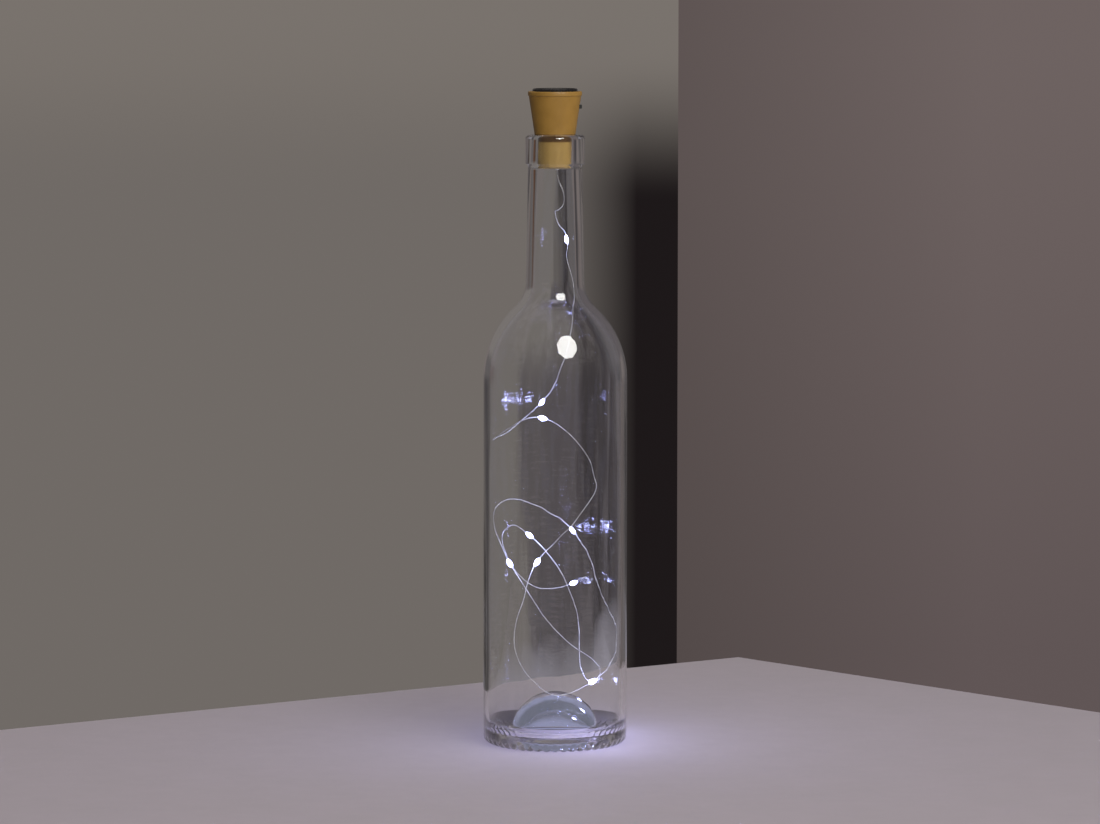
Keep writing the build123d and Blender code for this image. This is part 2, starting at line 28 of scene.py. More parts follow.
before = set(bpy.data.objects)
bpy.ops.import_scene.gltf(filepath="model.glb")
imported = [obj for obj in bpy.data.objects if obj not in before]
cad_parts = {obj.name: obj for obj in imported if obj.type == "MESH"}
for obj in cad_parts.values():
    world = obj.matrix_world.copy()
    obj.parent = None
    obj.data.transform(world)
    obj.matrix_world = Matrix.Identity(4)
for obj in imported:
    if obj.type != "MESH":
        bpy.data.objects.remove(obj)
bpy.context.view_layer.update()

mm = 0.001

# Camera
camera_place = (0.0, -2.388, 0.406)
camera_pitch = math.radians(5.623)
camera_yaw = math.radians(0.061)
camera_lens = 153.2
sensor_width = 36.0

# Bottle
body_radius = 37.0 * mm
body_wall = 3.0 * mm
heel_radius = 4.5 * mm
shoulder_height = 188.0 * mm
shoulder_radius = 50.0 * mm
flare_radius = 17.0 * mm
inner_flare_radius = 20.0 * mm
neck_foot_rise = 49.5 * mm
neck_foot_radius = 15.1 * mm
neck_top_radius = 13.9 * mm
bottle_height = 313.0 * mm
ring_height = 15.0 * mm
ring_radius = 15.2 * mm
ring_round = 2.3 * mm
ring_under_round = 0.6 * mm
bore_radius = 9.25 * mm
bore_foot_radius = 11.9 * mm
mouth_round = 0.7 * mm
punt_height = 18.5 * mm
punt_radius = 19.5 * mm
punt_glass = 7.8 * mm
punt_top_radius = 22.6 * mm
punt_foot_round = 3.5 * mm
floor_glass = 6.0 * mm
inner_heel_radius = 7.5 * mm
gutter_height = 1.4 * mm
gutter_slope = 1.0 * mm
bearing_width = 2.6 * mm
knurl_count = 48
knurl_depth = 0.5 * mm
knurl_height = 4.2 * mm
knurl_fade = 1.2 * mm
bottle_sides = 288
row_length = 2.6 * mm
wave_depth = 0.22 * mm
skin_ripple = 480.0
skin_line = 420.0
skin_patch = 330.0
back_skin_depth = 0.3 * mm
line_share = 0.35
back_line_share = 0.1
back_gloss_share = 0.12
streak_edges = (0.47, 0.56)
arc_turn = math.radians(9)
# Waves of the inside of the blown glass: how many go round, where they start, how far they turn over the
# bottle's height and their share
inner_waves = [(2, 1.1, 2.3, 1.0), (3, 4.0, -5.0, 0.7), (7, 0.0, 9.0, 0.45), (13, 2.0, -6.0, 0.3)]
bulge_share = 0.35
wave_sum = 2.8

# Light string
strand_radius = 0.085 * mm
strand_offset = 0.095 * mm
strand_kink = 0.5 * mm
strand_opening = 0.2 * mm
strand_sides = 6
twist_pitch = 2.8 * mm
# How the twist drifts, the strands part and the wire kinks, over these lengths of the wire
twist_drift = 1.6
twist_drift_length = 23.0 * mm
opening_lengths = (9.0 * mm, 31.0 * mm)
opening_least = 0.55
kink_lengths = (5.3 * mm, 17.0 * mm, 41.0 * mm)
kink_least = 0.6
ring_step = 0.28 * mm
line_steps = 24
drop_length = 4.8 * mm
drop_radius = 1.1 * mm
drop_end_radius = 0.3 * mm
drop_rings = 24
drop_sides = 20
drop_taper = 2.2
drop_fullness = 0.75
drop_unevenness = 0.06
drop_lean = 0.12
drop_oval = 0.05
core_glow = 200.0
end_glow = 1.1
glow_reach = 0.32
string_exit = Vector((1.1, 6.0, 297.3)) * mm
string_route = [
    Vector(place) * mm
    for place in (
        (1.1, 6.0, 294.9),
        (1.4, 6.0, 292.4),
        (2.4, 5.8, 288.4),
        (4.3, 5.4, 283.2),
        (4.8, 4.8, 278.3),
        (2.2, 3.6, 274.3),
        (-0.1, 6.0, 274.1),
        (0.9, 7.4, 270.7),
        (2.7, 6.6, 265.8),
        (5.5, 5.9, 262.8),
        (6.8, 4.9, 256.0),
        (5.6, 4.4, 250.9),
        (8.2, 3.4, 244.0),
        (9.7, 2.4, 236.9),
        (9.8, 2.6, 228.6),
        (9.3, 4.0, 219.2),
        (8.0, 6.5, 210.2),
        (6.0, 9.5, 201.1),
        (2.9, 14.5, 190.8),
        (-0.7, 20.0, 181.5),
        (-5.0, 23.4, 176.2),
        (-9.5, 25.6, 171.3),
        (-15.3, 27.0, 165.7),
        (-23.3, 22.0, 159.9),
        (-29.7, 12.5, 157.0),
        (-32.5, 0.0, 156.5),
        (-29.4, -12.5, 159.1),
        (-22.9, -22.0, 164.9),
        (-15.4, -27.3, 170.0),
        (-9.4, -26.9, 171.4),
        (-2.7, -26.1, 169.6),
        (4.2, -25.5, 165.3),
        (11.9, -24.0, 157.2),
        (18.1, -22.0, 148.0),
        (19.1, -21.0, 140.7),
        (21.2, -20.5, 134.0),
        (15.5, -22.0, 125.0),
        (9.4, -24.0, 116.3),
        (2.8, -26.0, 110.1),
        (-2.8, -27.0, 104.1),
        (-7.1, -26.3, 99.8),
        (-10.8, -25.7, 93.9),
        (-13.5, -25.0, 87.0),
        (-15.5, -24.0, 77.2),
        (-19.4, -23.5, 66.4),
        (-20.6, -23.5, 54.1),
        (-17.0, -24.5, 43.0),
        (-10.3, -26.5, 34.6),
        (-3.2, -28.0, 29.5),
        (3.5, -28.0, 28.2),
        (11.1, -26.0, 31.2),
        (16.2, -24.3, 33.4),
        (21.4, -20.7, 36.6),
        (26.5, -15.5, 40.6),
        (30.5, -7.5, 47.6),
        (32.1, 1.0, 55.6),
        (30.6, 8.5, 63.3),
        (26.3, 15.0, 71.8),
        (21.6, 20.0, 81.0),
        (19.3, 22.5, 90.5),
        (14.9, 24.5, 99.7),
        (11.5, 25.0, 104.4),
        (6.7, 26.0, 109.3),
        (1.3, 27.5, 113.7),
        (-7.6, 28.5, 118.8),
        (-17.0, 25.0, 122.6),
        (-25.3, 17.5, 124.7),
        (-30.4, 7.0, 122.1),
        (-31.5, -3.0, 117.1),
        (-29.3, -12.0, 110.4),
        (-26.1, -18.0, 103.5),
        (-23.9, -21.3, 98.8),
        (-20.6, -22.7, 92.8),
        (-16.6, -22.0, 86.1),
        (-10.5, -17.0, 75.2),
        (-4.3, -9.0, 64.8),
        (3.4, 1.0, 54.6),
        (11.8, 10.0, 46.5),
        (19.6, 18.0, 40.4),
        (25.4, 22.0, 34.1),
        (22.6, 24.1, 27.6),
        (15.8, 25.9, 27.6),
        (13.4, 25.0, 34.1),
        (12.4, 22.0, 43.7),
        (12.8, 16.0, 55.0),
        (11.5, 8.5, 67.0),
        (7.0, 0.5, 78.7),
        (3.4, -7.0, 89.7),
        (-3.9, -14.0, 100.2),
        (-10.1, -18.2, 107.5),
        (-15.1, -19.8, 112.1),
        (-20.5, -19.5, 115.7),
        (-25.5, -13.0, 112.1),
        (-27.9, -3.5, 105.8),
        (-26.2, 7.0, 97.7),
        (-22.6, 16.0, 89.3),
        (-17.4, 22.5, 81.4),
        (-10.1, 26.5, 76.4),
        (-0.7, 28.0, 75.7),
        (6.5, 27.1, 77.7),
        (12.9, 25.9, 80.4),
        (16.2, 25.0, 82.6),
    )
]
# How many points of the list above come before the run that has each light at its middle
light_point_counts = [9, 20, 29, 40, 51, 61, 71, 80, 89, 99]


def add_camera():
    """The camera at the photograph's angle."""
    data = bpy.data.cameras.new("camera")
    data.lens = camera_lens
    data.sensor_width = sensor_width
    camera = bpy.data.objects.new("camera", data)
    camera.location = camera_place
    camera.rotation_euler = (math.pi / 2 - camera_pitch, 0, camera_yaw)
    bpy.context.scene.collection.objects.link(camera)
    bpy.context.scene.camera = camera


def add_piece(name, vertices, faces, *materials):
    """A smooth mesh object made from vertices and faces, with its materials."""
    mesh = bpy.data.meshes.new(name)
    mesh.from_pydata([tuple(v) for v in vertices], [], faces)
    mesh.polygons.foreach_set("use_smooth", [True] * len(faces))
    for material in materials:
        mesh.materials.append(material)
    mesh.update()
    piece = bpy.data.objects.new(name, mesh)
    bpy.context.scene.collection.objects.link(piece)
    return piece


# Materials


class Nodes:
    """A material's or world's node tree, with short ways to add and join nodes."""

    def __init__(self, tree):
        self.tree = tree
        tree.nodes.clear()

    def add(self, kind, settings=None, **inputs):
        """Adds a node. Inputs are values or sockets, under the socket's name or i and its number."""
        node = self.tree.nodes.new(kind)
        for key, value in (settings or {}).items():
            setattr(node, key, value)
        for key, value in inputs.items():
            number = key[1:]
            socket = node.inputs[int(number)] if number.isdigit() else node.inputs[key.replace("_", " ")]
            if isinstance(value, bpy.types.NodeSocket):
                self.tree.links.new(value, socket)
            else:
                socket.default_value = value
        return node

    def noise(self, place, scale, detail=2.0, stretch=(1, 1, 1)):
        """A noise value at a place, with the place stretched first."""
        mapped = self.add("ShaderNodeMapping", Vector=place, Scale=stretch)
        return self.add("ShaderNodeTexNoise", Vector=mapped.outputs[0], Scale=scale, Detail=detail).outputs[0]

    def calculate(self, operation, *values):
        """The result of a Math node for values or sockets."""
        inputs = {f"i{number}": value for number, value in enumerate(values)}
        return self.add("ShaderNodeMath", {"operation": operation}, **inputs).outputs[0]

    def span(self, value, low, high, start=0.3, end=0.7):
        """A value from start to end brought to the span from low to high."""
        kind = self.add("ShaderNodeMapRange", i0=value, i1=start, i2=end, i3=low, i4=high)
        return kind.outputs[0]

    def blend(self, share, first, second):
        """A colour between two by a share."""
        mix = self.add("ShaderNodeMix", {"data_type": "RGBA"}, i0=share)
        for socket, colour in ((mix.inputs[6], first), (mix.inputs[7], second)):
            if isinstance(colour, bpy.types.NodeSocket):
                self.tree.links.new(colour, socket)
            else:
                socket.default_value = (*colour, 1)
        return mix.outputs[2]


def finish_material(
    name, light, dark, grain, rough, bump, depth, stretch=(1, 1, 1), marks=None, **sockets
):
    """A material with mottled colour, uneven roughness and a fine bump.

    light and dark are the colour's limits, grain the mottling's repeats per metre, rough the roughness's
    limits, bump the bump's repeats per metre and depth its height. marks adds to the colour from its own
    nodes, and sockets are values for the shader's own sockets.
    """
    material = bpy.data.materials.new(name)
    material.use_nodes = True
    nodes = Nodes(material.node_tree)
    place = nodes.add("ShaderNodeTexCoord").outputs["Object"]
    mottle = nodes.noise(place, grain, 3.0, stretch)
    colour = nodes.blend(nodes.span(mottle, 0.0, 1.0), dark, light)
    if marks:
        colour = marks(nodes, place, colour)
    wear = nodes.noise(place, grain * 2.7, 4.0, stretch)
    relief = nodes.noise(place, bump, 2.0, stretch)
    bumped = nodes.add("ShaderNodeBump", Strength=1.0, Distance=depth, Height=relief)
    shader = nodes.add(
        "ShaderNodeBsdfPrincipled",
        Base_Color=colour,
        Roughness=nodes.span(wear, rough[0], rough[1]),
        Normal=bumped.outputs[0],
        **sockets,
    )
    nodes.add("ShaderNodeOutputMaterial", Surface=shader.outputs[0])
    return material


def glass_material(name, swell, swell_depth, rib, rib_depth, skin_depth, least_gloss, back_gloss):
    """Colourless bottle glass with slow swells and fine upright ribs, under a gloss with a rippled skin.

    swell and rib are repeats per metre, and swell_depth, rib_depth and skin_depth are heights, the last on
    a face's front. The gloss lies in upright streaks: least_gloss is its share between them on the front,
    and back_gloss its share in them on the back.
    """
    material = bpy.data.materials.new(name)
    material.use_nodes = True
    nodes = Nodes(material.node_tree)
    place = nodes.add("ShaderNodeTexCoord").outputs["Object"]
    slow = nodes.noise(place, swell, 1.0, (1, 1, 0.3))
    swollen = nodes.add("ShaderNodeBump", Strength=1.0, Distance=swell_depth, Height=slow)
    fine = nodes.noise(place, rib, 1.0, (1, 1, 0.05))
    bumped = nodes.add(
        "ShaderNodeBump", Strength=1.0, Distance=rib_depth, Height=fine, Normal=swollen.outputs[0]
    )
    behind = nodes.add("ShaderNodeNewGeometry").outputs["Backfacing"]
    ripple = nodes.noise(place, skin_ripple, 1.0, (0.25, 0.25, 1))
    ripple_depth = nodes.span(behind, skin_depth, back_skin_depth, 0.0, 1.0)
    rippled = nodes.add("ShaderNodeBump", Strength=1.0, Distance=ripple_depth, Height=ripple)
    upright = nodes.noise(place, skin_line, 1.0, (1, 1, 0.08))
    line_depth = nodes.span(behind, line_share * skin_depth, back_line_share * back_skin_depth, 0.0, 1.0)
    skin = nodes.add(
        "ShaderNodeBump", Strength=1.0, Distance=line_depth, Height=upright, Normal=rippled.outputs[0]
    )
    streaks = nodes.noise(place, skin_patch, 1.0, (1, 1, 0.12))
    front = nodes.span(streaks, least_gloss, 1.0, *streak_edges)
    back = nodes.span(streaks, back_gloss_share * back_gloss, back_gloss, *streak_edges)
    coat = nodes.span(behind, front, back, 0.0, 1.0)
    shader = nodes.add(
        "ShaderNodeBsdfPrincipled",
        Base_Color=(0.985, 0.99, 0.99, 1),
        Roughness=0.0,
        IOR=1.52,
        Transmission_Weight=1.0,
        Specular_Tint=(0, 0, 0, 1),
        Coat_Weight=coat,
        Coat_Roughness=0.0,
        Coat_IOR=1.5,
        Normal=bumped.outputs[0],
        Coat_Normal=skin.outputs[0],
    )
    nodes.add("ShaderNodeOutputMaterial", Surface=shader.outputs[0])
    return material


# Bottle


def arc(centre, start, end):
    """Points along the shorter arc from start to end about a centre, without the start."""
    radius = math.dist(centre, start)
    first = math.atan2(start[1] - centre[1], start[0] - centre[0])
    turned = math.atan2(end[1] - centre[1], end[0] - centre[0]) - first
    turned = (turned + math.pi) % (2 * math.pi) - math.pi
    steps = max(4, math.ceil(abs(turned) * radius / row_length), math.ceil(abs(turned) / arc_turn))
    return [
        (
            centre[0] + radius * math.cos(first + turned * i / steps),
            centre[1] + radius * math.sin(first + turned * i / steps),
        )
        for i in range(1, steps + 1)
    ]


def line(start, end):
    """Points along a straight line from start to end, without the start."""
    steps = max(1, math.ceil(math.dist(start, end) / row_length))
    return [
        (start[0] + (end[0] - start[0]) * i / steps, start[1] + (end[1] - start[1]) * i / steps)
        for i in range(1, steps + 1)
    ]


def shoulder_and_flare(radius, flare, top, foot):
    """Tangent points where a round shoulder meets a hollow flare and the flare meets the neck's line."""
    centre = (body_radius - shoulder_radius, shoulder_height)
    lean = math.atan2(foot[0] - top[0], top[1] - foot[1])
    down = (math.sin(lean), -math.cos(lean))
    out = (math.cos(lean), math.sin(lean))
    away = (top[0] + flare * out[0] - centre[0], top[1] + flare * out[1] - centre[1])
    along = away[0] * down[0] + away[1] * down[1]
    gap = away[0] ** 2 + away[1] ** 2 - (radius + flare) ** 2
    drop = -along - math.sqrt(along ** 2 - gap)
    on_neck = (top[0] + drop * down[0], top[1] + drop * down[1])
    flare_centre = (on_neck[0] + flare * out[0], on_neck[1] + flare * out[1])
    pull = radius / (radius + flare)
    on_shoulder = (
        centre[0] + (flare_centre[0] - centre[0]) * pull,
        centre[1] + (flare_centre[1] - centre[1]) * pull,
    )
    return centre, on_shoulder, flare_centre, on_neck


def outer_profile():
    """The outside, from the mouth's edge down to the bearing ring and in to the top of the punt."""
    ring_z = bottle_height - ring_height
    neck_top = (neck_top_radius, ring_z)
    neck_foot = (neck_foot_radius, shoulder_height + neck_foot_rise)
    centre, on_shoulder, flare_centre, on_neck = shoulder_and_flare(
        shoulder_radius, flare_radius, neck_top, neck_foot
    )
    ring_side = (ring_radius, bottle_height - ring_round)
    ring_top = (ring_radius - ring_round, bottle_height)
    ring_low = (ring_radius, ring_z + ring_under_round)
    ring_under = (ring_radius - ring_under_round, ring_z)
    body_foot = (body_radius, heel_radius)
    bearing_edge = (body_radius - heel_radius, 0)
    bearing_inner = (bearing_edge[0] - bearing_width, 0)
    gutter_edge = (bearing_inner[0] - gutter_slope, gutter_height)
    dome_z = punt_height - punt_radius
    dome_foot = (math.sqrt(punt_radius ** 2 - (gutter_height - dome_z) ** 2), gutter_height)
    points = [ring_top] + arc((ring_top[0], ring_side[1]), ring_top, ring_side)
    points += line(ring_side, ring_low) + arc((ring_under[0], ring_low[1]), ring_low, ring_under)
    points += line(ring_under, neck_top) + line(neck_top, on_neck)
    points += arc(flare_centre, on_neck, on_shoulder)
    points += arc(centre, on_shoulder, (body_radius, shoulder_height))
    points += line((body_radius, shoulder_height), body_foot)
    points += arc((bearing_edge[0], body_foot[1]), body_foot, bearing_edge)
    points += line(bearing_edge, bearing_inner) + line(bearing_inner, gutter_edge)
    points += line(gutter_edge, dome_foot)
    points += arc((0, dome_z), dome_foot, (0, punt_height))
    return points


def inner_profile():
    """The inside, from the top of the punt out over the floor and up to the mouth."""
    inner_radius = body_radius - body_wall
    top_z = punt_height + punt_glass
    dome_centre = (0, top_z - punt_top_radius)
    foot_z = floor_glass + punt_foot_round
    reach = punt_top_radius + punt_foot_round
    foot_centre = (math.sqrt(reach ** 2 - (foot_z - dome_centre[1]) ** 2), foot_z)
    pull = punt_top_radius / reach
    dome_foot = (foot_centre[0] * pull, dome_centre[1] + (foot_centre[1] - dome_centre[1]) * pull)
    floor_start = (foot_centre[0], floor_glass)
    floor_end = (inner_radius - inner_heel_radius, floor_glass)
    wall_foot = (inner_radius, floor_glass + inner_heel_radius)
    wall_top = (inner_radius, shoulder_height)
    neck_foot = (bore_foot_radius, shoulder_height + neck_foot_rise)
    mouth_low = (bore_radius, bottle_height - mouth_round)
    mouth_top = (bore_radius + mouth_round, bottle_height)
    centre, on_shoulder, flare_centre, on_neck = shoulder_and_flare(
        shoulder_radius - body_wall, inner_flare_radius, mouth_low, neck_foot
    )
    points = arc(dome_centre, (0, top_z), dome_foot)
    points += arc(foot_centre, dome_foot, floor_start) + line(floor_start, floor_end)
    points += arc((floor_end[0], wall_foot[1]), floor_end, wall_foot) + line(wall_foot, wall_top)
    points += arc(centre, wall_top, on_shoulder) + arc(flare_centre, on_shoulder, on_neck)
    points += line(on_neck, mouth_low) + arc((mouth_top[0], mouth_low[1]), mouth_low, mouth_top)
    return points


def inner_wave(angle, z):
    """How far the inside of the blown glass stands off its round, at an angle and a height."""
    up = z / bottle_height
    swell = sum(
        share * math.sin(number * angle + start + turn * up) for number, start, turn, share in inner_waves
    )
    swell += bulge_share * math.sin(31.0 * up + 2.0 * math.sin(angle))
    return swell / wave_sum


def knurl(angle, radius, z):
    """How far the foot is cut in at an angle by the short grooves round its bearing ring."""
    inner_edge = body_radius - heel_radius - bearing_width - gutter_slope
    if z > knurl_height or radius < inner_edge:
        return 0.0
    across = (angle * knurl_count / (2 * math.pi)) % 1.0
    groove = max(0.0, math.cos((across - 0.5) * 2 * math.pi)) ** 0.6
    return knurl_depth * groove * min(1.0, (knurl_height - z) / knurl_fade)


def add_bottle():
    """The blown bottle: the lathed outside with its knurled foot, and an inside with faint waves."""
    outer = outer_profile()
    inner = inner_profile()
    profile = outer[:-1] + inner
    vertices = []
    for number, (radius, z) in enumerate(profile):
        inside = number >= len(outer) - 1
        for i in range(bottle_sides):
            angle = 2 * math.pi * i / bottle_sides
            off = 0.0
            lift = 0.0
            if inside:
                calm = min(1.0, (bottle_height - z) / ring_height) * min(1.0, radius / body_wall)
                off = wave_depth * inner_wave(angle, z) * calm * min(1.0, radius / bore_radius)
            elif z < heel_radius:
                out = max(0.0, radius - (body_radius - heel_radius)) / heel_radius
                cut = knurl(angle, radius, z)
                off = -cut * out
                lift = cut * math.sqrt(max(0.0, 1 - out * out))
            vertices.append(((radius + off) * math.cos(angle), (radius + off) * math.sin(angle), z + lift))
    faces = []
    slots = []
    rows = len(profile)
    seam = len(outer) - 1
    for row in range(rows):
        if row == seam - 1:
            continue
        a = row * bottle_sides
        b = (row + 1) % rows * bottle_sides
        for i in range(bottle_sides):
            j = (i + 1) % bottle_sides
            faces.append((a + j, a + i, b + i, b + j))
            slots.append(1 if row >= seam else 0)
    # The two domes close on a point at the axis
    punt_top = len(vertices)
    vertices += [(0, 0, punt_height), (0, 0, punt_height + punt_glass)]
    for i in range(bottle_sides):
        j = (i + 1) % bottle_sides
        faces.append(((seam - 1) * bottle_sides + j, (seam - 1) * bottle_sides + i, punt_top))
        faces.append((seam * bottle_sides + i, seam * bottle_sides + j, punt_top + 1))
        slots += [0, 1]
    bottle = add_piece(
        "bottle_wall",
        vertices,
        faces,
        glass_material("glass_outer", 70.0, 0.02 * mm, 260.0, 0.01 * mm, 0.002 * mm, 1.0, 0.8),
        glass_material("glass_inner", 110.0, 0.06 * mm, 300.0, 0.03 * mm, 0.6 * mm, 0.12, 0.0),
    )
    bottle.data.polygons.foreach_set("material_index", slots)
    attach(bottle, "bottle")
    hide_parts("glass_bottle")


# Light string


def line_through(points):
    """Points read from the smooth line that has the route's points as its control points."""
    curve = bpy.data.curves.new("string_line", "CURVE")
    curve.dimensions = "3D"
    spline = curve.splines.new("NURBS")
    spline.points.add(len(points) - 1)
    for control, place in zip(spline.points, points):
        control.co = (*place, 1)
    spline.order_u = 3
    spline.use_endpoint_u = True
    spline.resolution_u = line_steps
    holder = bpy.data.objects.new("string_line", curve)
    bpy.context.scene.collection.objects.link(holder)
    bpy.context.view_layer.update()
    mesh = bpy.data.meshes.new_from_object(holder)
    places = [v.co.copy() for v in mesh.vertices]
    bpy.data.objects.remove(holder)
    return places


def frames_along(places):
    """Evenly spaced points on the line, each with its distance, direction and two directions across it."""
    frames = []
    walked = 0.0
    wanted = 0.0
    across = Vector((1, 0, 0))
    for a, b in zip(places[:-1], places[1:]):
        run = b - a
        if run.length < 1e-9:
            continue
        along = run.normalized()
        across = (across - across.dot(along) * along).normalized()
        while wanted <= walked + run.length:
            frames.append((a + along * (wanted - walked), wanted, along, across, along.cross(across)))
            wanted += ring_step
        walked += run.length
    return frames


def strand(frames, side, vertices, faces):
    """One of the two twisted strands, added to vertices and faces."""
    start = len(vertices)
    for place, far, along, across, up in frames:
        phase = 2 * math.pi * far / twist_pitch + twist_drift * math.sin(far / twist_drift_length)
        phase += math.pi * side
        loose = math.sin(far / opening_lengths[0]) * math.sin(far / opening_lengths[1] + 1.0)
        off = strand_offset + strand_opening * max(0.0, loose - opening_least)
        kink = abs(math.sin(far / kink_lengths[0] + 2 * math.sin(far / kink_lengths[1]))) - kink_least
        kink *= strand_kink * math.sin(far / kink_lengths[2] + 0.7)
        centre = place + (math.cos(phase) * across + math.sin(phase) * up) * off + up * kink
        for i in range(strand_sides):
            turned = 2 * math.pi * i / strand_sides
            vertices.append(centre + (math.cos(turned) * across + math.sin(turned) * up) * strand_radius)
    for ring in range(len(frames) - 1):
        for i in range(strand_sides):
            j = (i + 1) % strand_sides
            a = start + ring * strand_sides
            b = a + strand_sides
            faces.append((a + i, a + j, b + j, b + i))
    last = start + (len(frames) - 1) * strand_sides
    faces.append(tuple(start + i for i in reversed(range(strand_sides))))
    faces.append(tuple(last + i for i in range(strand_sides)))


def light_frames():
    """The middle of each light, with the wire's direction there and two directions across it."""
    found = []
    for count in light_point_counts:
        a = string_route[count]
        b = string_route[count + 1]
        along = (b - a).normalized()
        across = along.cross(Vector((0, 0, 1))).normalized()
        found.append(((a + b) / 2, along, across, along.cross(across)))
    return found


def lit_resin():
    """Clear resin lit from its middle, white at the chip and violet towards the ends."""
    material = bpy.data.materials.new("lit_resin")
    material.use_nodes = True
    nodes = Nodes(material.node_tree)
    place = nodes.add("ShaderNodeTexCoord").outputs["Object"]
    glow = nodes.add("ShaderNodeAttribute", {"attribute_name": "glow"}).outputs["Fac"]
    relief = nodes.noise(place, 900.0, 2.0)
    bumped = nodes.add("ShaderNodeBump", Strength=1.0, Distance=0.03 * mm, Height=relief)
    cloud = nodes.noise(place, 1400.0, 3.0)
    shader = nodes.add(
        "ShaderNodeBsdfPrincipled",
        Base_Color=nodes.blend(cloud, (0.8, 0.85, 1.0), (0.93, 0.95, 1.0)),
        Roughness=nodes.span(cloud, 0.05, 0.2),
        IOR=1.5,
        Transmission_Weight=0.7,
        Normal=bumped.outputs[0],
        Emission_Color=nodes.blend(glow, (0.36, 0.38, 1.0), (0.5, 0.55, 1.0)),
        Emission_Strength=nodes.span(glow, end_glow, core_glow, 0.0, 1.0),
    )
    nodes.add("ShaderNodeOutputMaterial", Surface=shader.outputs[0])
    return material


def add_drops():
    """The ten drops of clear resin round the lit chips."""
    vertices = []
    faces = []
    glows = []
    for number, (middle, along, across, up) in enumerate(light_frames()):
        start = len(vertices)
        for ring in range(drop_rings + 1):
            share = 2 * ring / drop_rings - 1
            swell = max(0.0, 1 - abs(share) ** drop_taper) ** drop_fullness
            radius = drop_end_radius + (drop_radius - drop_end_radius) * swell
            radius *= 1 + drop_unevenness * math.sin(3 * share + number)
            lean = drop_lean * drop_radius * swell
            for i in range(drop_sides):
                turned = 2 * math.pi * i / drop_sides
                out = radius * (1 + drop_oval * math.sin(2 * turned + 1.7 * number))
                place = middle + along * (share * drop_length / 2) + up * lean
                vertices.append(place + (math.cos(turned) * across + math.sin(turned) * up) * out)
                glows.append(math.exp(-((share / glow_reach) ** 2)))
        for ring in range(drop_rings):
            for i in range(drop_sides):
                j = (i + 1) % drop_sides
                a = start + ring * drop_sides
                b = a + drop_sides
                faces.append((a + i, a + j, b + j, b + i))
        last = start + drop_rings * drop_sides
        faces.append(tuple(start + i for i in reversed(range(drop_sides))))
        faces.append(tuple(last + i for i in range(drop_sides)))
    drops = add_piece("light_drops", vertices, faces, lit_resin())
    glow = drops.data.attributes.new("glow", "FLOAT", "POINT")
    glow.data.foreach_set("value", glows)
    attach(drops, "stopper")
    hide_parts("led_drops")
    return drops


def add_string():
    """The fine twisted pair, from the plug's underside to its bare tip."""
    places = line_through([string_exit] + string_route)
    frames = frames_along(places)
    vertices = []
    faces = []
    for side in (0, 1):
        strand(frames, side, vertices, faces)
    wire = add_piece(
        "twisted_wire",
        vertices,
        faces,
        finish_material(
            "silver_wire", (1.0, 0.99, 1.0), (0.5, 0.49, 0.51), 450.0, (0.15, 0.3), 2500.0, 0.02 * mm,
            Metallic=0.2,
        ),
    )
    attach(wire, "stopper")
    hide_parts("string_wire")


# Stopper

# Heights between which the ring keeps light off the plug, where painted shade lies, and the painted tones: the
# shade, and the plug's tone, painted lighter than the cone for light that the glass holds back
cone_shade_low = (bottle_height - 3.9 * mm, bottle_height - 3.2 * mm)
cone_shade_high = (bottle_height + 0.1 * mm, bottle_height + 0.4 * mm)
cone_shade_tone = (0.13, 0.065, 0.022)
plug_painted_light_tone = (0.4, 0.255, 0.077)


def shade_under_cone(nodes, place, colour):
    """The stopper's colour, with painted light and shade on the plug: the plug painted lighter for light that
    the glass holds back, and painted shade just under the cone, where the ring keeps light out.
    """
    rise = nodes.add("ShaderNodeSeparateXYZ", Vector=place).outputs[2]
    under = nodes.span(rise, 0.0, 1.0, *cone_shade_low)
    over = nodes.span(rise, 1.0, 0.0, *cone_shade_high)
    plug = nodes.span(rise, 1.0, 0.0, *cone_shade_low)
    # Painted light: the plug is lighter than the cone, for light that the glass holds back
    colour = nodes.blend(plug, colour, plug_painted_light_tone)
    # Painted shade on the plug just under the cone
    return nodes.blend(nodes.calculate("MULTIPLY", under, over), colour, cone_shade_tone)


